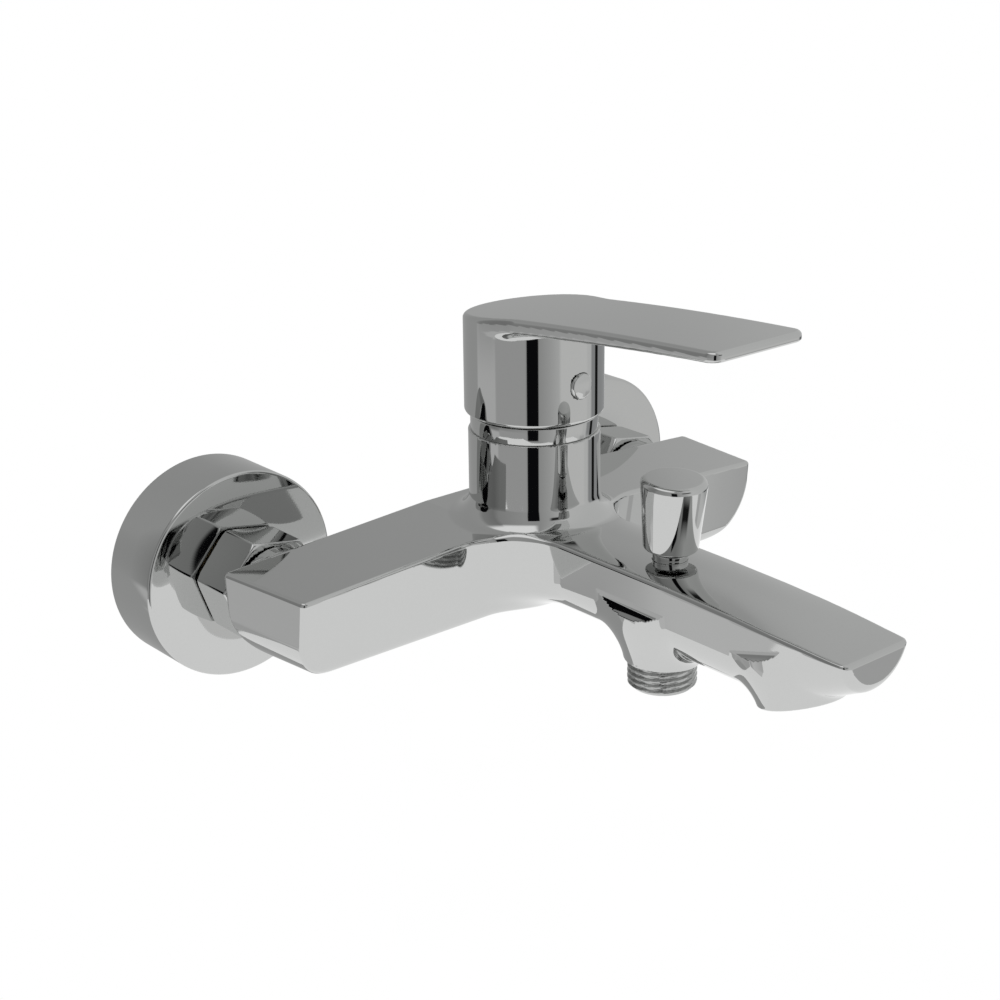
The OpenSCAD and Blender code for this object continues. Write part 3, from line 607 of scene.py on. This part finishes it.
def shower_thread():
    """The nipple under the boss: its thread outside, a bore and a valve seat inside."""
    top = thread_len + nipple_grip
    outline = [(thread_r, thread_len * i / thread_rows) for i in range(thread_rows)]
    outline += [(thread_r - thread_depth, thread_len), (nipple_r, thread_len + 0.1)]
    outline += [(nipple_r, top), (nipple_bore_r, top), (nipple_bore_r, valve_seat_depth)]
    outline += [(valve_seat_r, valve_seat_depth), (valve_seat_r, 0)]
    return lathe("shower_thread", outline, (0, outlet_y, nipple_end), (0, 0, 1), cut=thread_cut)


def hexagon_nut(side):
    """Field of a union nut: six flats with turned chamfers and its stepped bore."""
    corner = nut_af / 2 / math.cos(math.radians(30))

    def field(x, y, z):
        across, up = x - side * inlet_x, z - axis_z
        shape = nut_front - y
        for k in (0, 60, 120):
            a = math.radians(nut_twist + k)
            flat = np.abs(across * math.cos(a) + up * math.sin(a)) - nut_af / 2
            shape = meet(shape, flat, nut_edge_r)
        shape = meet(shape, y - nut_rear, nut_edge_r)
        ring = np.hypot(across, up)
        ends = np.minimum(y - nut_front, nut_rear - y)
        slope = nut_chamfer_slope
        chamfer = (ring - corner + nut_chamfer - slope * ends) / math.hypot(1, slope)
        shape = meet(shape, chamfer, nut_edge_r)
        bore = np.maximum(ring - nut_bore_r, nut_front + nut_shoulder_t - y)
        return np.maximum(np.maximum(shape, -bore), tail_bore_r + nut_play - ring)

    return field


# ---- finishes ----


def new_group(name, inputs, outputs):
    """A shader node group with named inputs and outputs."""
    tree = bpy.data.node_groups.new(name, "ShaderNodeTree")
    for label, kind in inputs:
        tree.interface.new_socket(name=label, in_out="INPUT", socket_type=kind)
    for label, kind in outputs:
        tree.interface.new_socket(name=label, in_out="OUTPUT", socket_type=kind)
    return tree, tree.nodes.new("NodeGroupInput"), tree.nodes.new("NodeGroupOutput")


def noise(tree, place, scale, detail=2.0):
    """Noise at a place; its scale is a number or comes from a socket."""
    node = tree.nodes.new("ShaderNodeTexNoise")
    node.inputs["Detail"].default_value = detail
    tree.links.new(place, node.inputs["Vector"])
    if isinstance(scale, float):
        node.inputs["Scale"].default_value = scale
    else:
        tree.links.new(scale, node.inputs["Scale"])
    return node.outputs["Fac"]


def maths(tree, operation, *values):
    """A Math node fed by numbers and sockets."""
    node = tree.nodes.new("ShaderNodeMath")
    node.operation = operation
    for socket, value in zip(node.inputs, values):
        if isinstance(value, (int, float)):
            socket.default_value = value
        else:
            tree.links.new(value, socket)
    return node.outputs[0]


def tinted(tree, colour, amount):
    """The colour made lighter and darker round itself by an amount."""
    node = tree.nodes.new("ShaderNodeVectorMath")
    node.operation = "SCALE"
    tree.links.new(colour, node.inputs[0])
    tree.links.new(maths(tree, "ADD", 1.0, amount), node.inputs["Scale"])
    return node.outputs[0]


SURFACE_IN = [("Colour", "NodeSocketColor"), ("Roughness", "NodeSocketFloat"),
              ("Grain", "NodeSocketFloat"), ("Mottle", "NodeSocketFloat")]
SURFACE_OUT = [("Colour", "NodeSocketColor"), ("Roughness", "NodeSocketFloat"),
               ("Relief", "NodeSocketFloat")]


def surface_group(name, relief):
    """Mottled colour and roughness, with a relief that the given function draws."""
    tree, given, out = new_group(name, SURFACE_IN, SURFACE_OUT)
    place = tree.nodes.new("ShaderNodeTexCoord").outputs["Object"]
    cloud = maths(tree, "SUBTRACT", noise(tree, place, given.outputs["Grain"], 4.0), 0.5)
    fine = maths(tree, "SUBTRACT", noise(tree, place, 900.0), 0.5)
    shade = maths(tree, "MULTIPLY", maths(tree, "ADD", cloud, fine), given.outputs["Mottle"])
    tree.links.new(tinted(tree, given.outputs["Colour"], shade), out.inputs["Colour"])
    worn = maths(tree, "MULTIPLY", maths(tree, "ADD", cloud, 0.5), given.outputs["Roughness"])
    tree.links.new(maths(tree, "ADD", maths(tree, "MULTIPLY", given.outputs["Roughness"], 0.5), worn),
                   out.inputs["Roughness"])
    tree.links.new(relief(tree, place, given.outputs["Grain"]), out.inputs["Relief"])
    return tree


def soft_waves(tree, place, grain):
    """The faint waviness that buffing leaves on a casting."""
    return noise(tree, place, grain, 0.0)


def turning_marks(tree, place, grain):
    """Fine rings left by a turning tool."""
    wave = tree.nodes.new("ShaderNodeTexWave")
    wave.wave_type = "RINGS"
    wave.rings_direction = "SPHERICAL"
    wave.inputs["Distortion"].default_value = 0.6
    tree.links.new(maths(tree, "MULTIPLY", grain, 4.0), wave.inputs["Scale"])
    tree.links.new(place, wave.inputs["Vector"])
    return wave.outputs["Fac"]


def moulded_grain(tree, place, grain):
    """The even, fine grain of a moulded face."""
    return maths(tree, "ADD", noise(tree, place, grain, 5.0), noise(tree, place, 2400.0, 2.0))


GROUPS = {
    "buffed": surface_group("buffed", soft_waves),
    "turned": surface_group("turned", turning_marks),
    "moulded": surface_group("moulded", moulded_grain),
}


def finish(name, group, colour, metallic, roughness, grain, mottle, relief):
    """A finish from its surface group, with the finish's own values."""
    m = bpy.data.materials.new(name)
    m.use_nodes = True
    tree = m.node_tree
    shader = tree.nodes["Principled BSDF"]
    shader.inputs["Metallic"].default_value = metallic
    surface = tree.nodes.new("ShaderNodeGroup")
    surface.node_tree = GROUPS[group]
    surface.inputs["Colour"].default_value = (*colour, 1)
    surface.inputs["Roughness"].default_value = roughness
    surface.inputs["Grain"].default_value = grain
    surface.inputs["Mottle"].default_value = mottle
    bump = tree.nodes.new("ShaderNodeBump")
    bump.inputs["Strength"].default_value = relief
    bump.inputs["Distance"].default_value = MM
    tree.links.new(surface.outputs["Relief"], bump.inputs["Height"])
    tree.links.new(surface.outputs["Colour"], shader.inputs["Base Color"])
    tree.links.new(surface.outputs["Roughness"], shader.inputs["Roughness"])
    tree.links.new(bump.outputs["Normal"], shader.inputs["Normal"])
    return m


CHROME = (0.56, 0.565, 0.56)

# slot: group, colour, metallic, roughness, grain, mottle, relief
FINISHES = {
    "chrome_casting": ("buffed", CHROME, 1, 0.03, 60, 0.02, 0.02),
    "chrome_handle": ("buffed", CHROME, 1, 0.03, 50, 0.02, 0.015),
    "chrome_trim": ("buffed", CHROME, 1, 0.035, 70, 0.02, 0.015),
    "chrome_nut": ("buffed", CHROME, 1, 0.03, 90, 0.02, 0.02),
    "plated_thread": ("turned", (0.45, 0.455, 0.45), 1, 0.16, 120, 0.06, 0.03),
    "raw_brass": ("turned", (0.72, 0.56, 0.3), 1, 0.24, 110, 0.08, 0.06),
    "stainless": ("turned", (0.58, 0.58, 0.58), 1, 0.26, 140, 0.05, 0.05),
    "fibre_washer": ("moulded", (0.16, 0.1, 0.07), 0, 0.8, 300, 0.3, 0.3),
    "black_rubber": ("moulded", (0.03, 0.03, 0.03), 0, 0.6, 220, 0.2, 0.15),
    "ivory_plastic": ("moulded", (0.8, 0.76, 0.65), 0, 0.4, 160, 0.04, 0.06),
    "orange_plastic": ("moulded", (0.8, 0.3, 0.07), 0, 0.4, 160, 0.05, 0.06),
    "blue_plastic": ("moulded", (0.1, 0.22, 0.5), 0, 0.4, 160, 0.05, 0.06),
    "grey_plastic": ("moulded", (0.55, 0.56, 0.56), 0, 0.42, 160, 0.05, 0.08),
    "ceramic": ("moulded", (0.87, 0.87, 0.84), 0, 0.14, 90, 0.03, 0.01),
}
finishes = {name: finish(name, *values) for name, values in FINISHES.items()}


# ---- studio ----


# where the camera stands, in metres, and how it is turned, in degrees
CAMERA_PLACE = (-0.3781, -0.5095, 0.2383)
CAMERA_TURN = 43.01
CAMERA_DROP = 17.284
CAMERA_ROLL = 0.265
CAMERA_SHIFT = -0.1


def camera():
    """A camera in front of the faucet, to its left and a little above it."""
    turn, drop, roll = (math.radians(angle) for angle in (CAMERA_TURN, CAMERA_DROP, CAMERA_ROLL))
    back = Vector((-math.sin(turn) * math.cos(drop), -math.cos(turn) * math.cos(drop), math.sin(drop)))
    right = Vector((math.cos(turn), -math.sin(turn), 0))
    up = right.cross(-back)
    level = right * math.cos(roll) + up * math.sin(roll)
    upright = -right * math.sin(roll) + up * math.cos(roll)
    data = bpy.data.cameras.new("camera")
    data.sensor_width = 36
    data.lens = 70.3
    data.shift_x = CAMERA_SHIFT
    data.shift_y = CAMERA_SHIFT
    data.clip_start = 0.01
    cam = bpy.data.objects.new("camera", data)
    bpy.context.scene.collection.objects.link(cam)
    place = Matrix((level, upright, back)).transposed().to_4x4()
    place.translation = Vector(CAMERA_PLACE)
    cam.matrix_world = place
    bpy.context.scene.camera = cam


def smooth_step(tree, value, middle_value, width):
    """Goes from 0 to 1 over a width on each side of the middle value."""
    node = tree.nodes.new("ShaderNodeMapRange")
    node.interpolation_type = "SMOOTHSTEP"
    tree.links.new(value, node.inputs["Value"])
    tree.links.new(maths(tree, "SUBTRACT", middle_value, width), node.inputs["From Min"])
    tree.links.new(maths(tree, "ADD", middle_value, width), node.inputs["From Max"])
    return node.outputs["Result"]


def panel_group():
    """Mask of an upright panel in the studio: between two bearings and two heights, soft at its edges."""
    names = ("Bearing", "Height", "Left", "Right", "Low", "High", "Soft")
    tree, given, out = new_group("studio_panel", [(n, "NodeSocketFloat") for n in names],
                                 [("Mask", "NodeSocketFloat")])
    pick = given.outputs
    sides = maths(tree, "SUBTRACT", smooth_step(tree, pick["Bearing"], pick["Left"], pick["Soft"]),
                  smooth_step(tree, pick["Bearing"], pick["Right"], pick["Soft"]))
    ends = maths(tree, "SUBTRACT", smooth_step(tree, pick["Height"], pick["Low"], pick["Soft"]),
                 smooth_step(tree, pick["Height"], pick["High"], pick["Soft"]))
    tree.links.new(maths(tree, "MULTIPLY", sides, ends), out.inputs["Mask"])
    return tree


# bearing in degrees (0 ahead of the spout, 90 to its right): tone of the room's walls
WALLS = [(-180, 0.41), (-148, 0.43), (-138, 0.3), (-115, 0.25), (-104, 0.34), (-60, 0.42), (-33, 0.4),
         (-15, 0.5), (0, 0.6), (12, 0.72), (60, 0.68), (118, 0.66), (132, 0.53), (136, 0.46), (150, 0.41),
         (180, 0.41)]
WALL_GREEN = 1.005

# name, bearings of its left and right side, heights of its low and high end, softness, tone;
# all but the tone in degrees
PANELS = [
    ("skirting_left", -106, -55, -22, -13, 1.5, (0.46, 0.46, 0.46)),
    ("skirting_rear", -146, -106, -28, -15, 2, (0.6, 0.6, 0.6)),
    ("rear_strip", -150, -106, -44, -28, 2, (0.71, 0.71, 0.71)),
    ("rear_shade", -150, -139.4, -44, -28, 1.5, (0.51, 0.51, 0.51)),
    ("skirting_front", 2, 55, -22, -12, 3, (0.74, 0.74, 0.735)),
    ("skirting_right", 66, 134, -24, -12, 3, (0.34, 0.345, 0.35)),
    ("camera_flag", -53, -34, -24, 30, 1, (0.005, 0.005, 0.006)),
    ("narrow_flag", 77, 86, -24, -13, 1, (0.01, 0.01, 0.01)),
    ("front_screen", 50, 62, -40, -23, 1.5, (0.54, 0.54, 0.54)),
    ("front_gap", -16, 16, 20, 34, 4, (0.02, 0.02, 0.02)),
    ("overhead", -150, -40, 52, 90, 6, (1.1, 1.1, 1.1)),
]


def wall_tones(tree, bearing):
    """Tone of the walls round the bearing."""
    walls = tree.nodes.new("ShaderNodeValToRGB")
    tree.links.new(maths(tree, "DIVIDE", maths(tree, "ADD", bearing, 180.0), 360.0), walls.inputs["Fac"])
    stops = walls.color_ramp.elements
    stops.remove(stops[1])
    for i, (at, tone) in enumerate(WALLS):
        stop = stops.new((at + 180) / 360) if i else stops[0]
        stop.color = (tone, tone * WALL_GREEN, tone, 1)
    return walls.outputs["Color"]


def hang_panels(tree, colour, bearing, height):
    """Puts the panels over the walls' colour, one after another."""
    mask_tree = panel_group()
    for name, left, right, low, high, soft, tone in PANELS:
        mask = tree.nodes.new("ShaderNodeGroup")
        mask.node_tree = mask_tree
        mask.label = name
        tree.links.new(bearing, mask.inputs["Bearing"])
        tree.links.new(height, mask.inputs["Height"])
        edges = {"Left": left, "Right": right, "Low": low, "High": high, "Soft": soft}
        for label, value in edges.items():
            mask.inputs[label].default_value = value
        blend = tree.nodes.new("ShaderNodeMix")
        blend.data_type = "RGBA"
        tree.links.new(mask.outputs["Mask"], blend.inputs["Factor"])
        tree.links.new(colour, blend.inputs["A"])
        blend.inputs["B"].default_value = (*tone, 1)
        colour = blend.outputs["Result"]
    return colour


def world():
    """The room that the chrome shows, and a white backdrop for the camera alone."""
    w = bpy.data.worlds.new("studio")
    bpy.context.scene.world = w
    w.use_nodes = True
    tree = w.node_tree
    tree.nodes.clear()
    sky = tree.nodes.new("ShaderNodeTexCoord").outputs["Generated"]
    split = tree.nodes.new("ShaderNodeSeparateXYZ")
    tree.links.new(sky, split.inputs[0])
    x, y, z = split.outputs
    ahead = maths(tree, "MULTIPLY", y, -1.0)
    bearing = maths(tree, "DEGREES", maths(tree, "ARCTAN2", x, ahead))
    height = maths(tree, "DEGREES", maths(tree, "ARCSINE", z))

    room = tree.nodes.new("ShaderNodeBackground")
    colour = hang_panels(tree, wall_tones(tree, bearing), bearing, height)
    tree.links.new(colour, room.inputs["Color"])
    backdrop = tree.nodes.new("ShaderNodeBackground")
    backdrop.inputs["Color"].default_value = (1, 1, 1, 1)
    seen = tree.nodes.new("ShaderNodeLightPath").outputs["Is Camera Ray"]
    mix = tree.nodes.new("ShaderNodeMixShader")
    tree.links.new(seen, mix.inputs["Fac"])
    tree.links.new(room.outputs[0], mix.inputs[1])
    tree.links.new(backdrop.outputs[0], mix.inputs[2])
    out = tree.nodes.new("ShaderNodeOutputWorld")
    tree.links.new(mix.outputs[0], out.inputs["Surface"])


# bearing in degrees: distance of the floor's edge in metres
FLOOR = [(-178, 0.8), (-165, 0.9), (-150, 1.07), (-137, 1.43), (-133, 1.34), (-126, 1.22),
         (-119, 1.8), (-105, 2.5), (-90, 2.54), (-60, 2.54), (-45, 2.0), (-15, 2.05), (0, 1.95),
         (12, 2.4), (32, 2.4), (43, 2.1), (45.5, 1.62), (60, 1.62), (90, 1.95), (105, 2.3),
         (120, 2.8), (135, 3.6), (142, 3.2), (146, 0.72), (165, 0.72)]
FLOOR_Z = -0.9
FLOOR_GLOW = 0.8


def floor_finish():
    """A pale matt finish that looks white to the camera and in the chrome."""
    m = bpy.data.materials.new("floor")
    m.use_nodes = True
    tree = m.node_tree
    shader = tree.nodes["Principled BSDF"]
    shader.inputs["Roughness"].default_value = 0.9
    place = tree.nodes.new("ShaderNodeTexCoord").outputs["Object"]
    tone = maths(tree, "ADD", 0.88, maths(tree, "MULTIPLY", noise(tree, place, 6.0), 0.04))
    tree.links.new(tone, shader.inputs["Base Color"])
    glow = tree.nodes.new("ShaderNodeEmission")
    rays = tree.nodes.new("ShaderNodeLightPath").outputs
    seen = maths(tree, "MAXIMUM", rays["Is Camera Ray"], rays["Is Glossy Ray"])
    seen = maths(tree, "MAXIMUM", seen, rays["Is Transmission Ray"])
    mix = tree.nodes.new("ShaderNodeMixShader")
    tree.links.new(maths(tree, "MULTIPLY", seen, FLOOR_GLOW), mix.inputs["Fac"])
    tree.links.new(shader.outputs[0], mix.inputs[1])
    tree.links.new(glow.outputs[0], mix.inputs[2])
    tree.links.new(mix.outputs[0], tree.nodes["Material Output"].inputs["Surface"])
    return m


def floor():
    """A pale table under the faucet, which keeps a shadow."""
    corners = []
    for bearing, reach in FLOOR:
        a = math.radians(bearing)
        corners.append((reach * math.sin(a), -reach * math.cos(a), FLOOR_Z))
    mesh = bpy.data.meshes.new("floor")
    mesh.from_pydata(corners, [], [range(len(corners))])
    plane = bpy.data.objects.new("floor", mesh)
    bpy.context.scene.collection.objects.link(plane)
    mesh.materials.append(floor_finish())


def soft_light():
    """Wide, soft daylight from above, which the chrome doesn't mirror."""
    data = bpy.data.lights.new("soft_light", "SUN")
    data.energy = 1.9
    data.angle = math.radians(60)
    lamp = bpy.data.objects.new("soft_light", data)
    lamp.rotation_euler = (math.radians(-14), math.radians(-18), 0)
    lamp.visible_glossy = False
    bpy.context.scene.collection.objects.link(lamp)


# ---- the faucet ----

# size of the cells that the shapes are meshed in, in millimetres
casting_step = 0.55
nut_step = 0.4

camera()
world()
floor()
soft_light()

slots = {part["node"]: part["material_slot"] for part in frame["record"]["subparts"]}
for name, node in nodes.items():
    node.data.materials.clear()
    node.data.materials.append(finishes[slots[name]])


def fit(piece, node, body_name):
    """Dresses a piece in its node's finish, lets it ride on a body and stand for the node."""
    piece.data.materials.append(finishes[slots[node]])
    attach(piece, body_name)
    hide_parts(node)


fit(cast("cast_body", body, "body", casting_step), "body", "mixer_body")
fit(cast("cast_handle", handle, "handle", casting_step), "handle", "lever")
fit(escutcheon(-1), "left_escutcheon", "mixer_body")
fit(escutcheon(1), "right_escutcheon", "mixer_body")
fit(cast("left_hexagon", hexagon_nut(-1), "left_union_nut", nut_step), "left_union_nut", "left_nut")
fit(cast("right_hexagon", hexagon_nut(1), "right_union_nut", nut_step), "right_union_nut", "right_nut")
fit(cover_ring(), "trim_ring", "mixer_body")
fit(pull_knob(), "diverter_knob", "diverter")
fit(knob_gland(), "diverter_gland", "mixer_body")
fit(index_plug(), "handle_plug", "lever")
fit(shower_thread(), "shower_nipple", "mixer_body")

bpy.context.scene.view_settings.view_transform = "Standard"
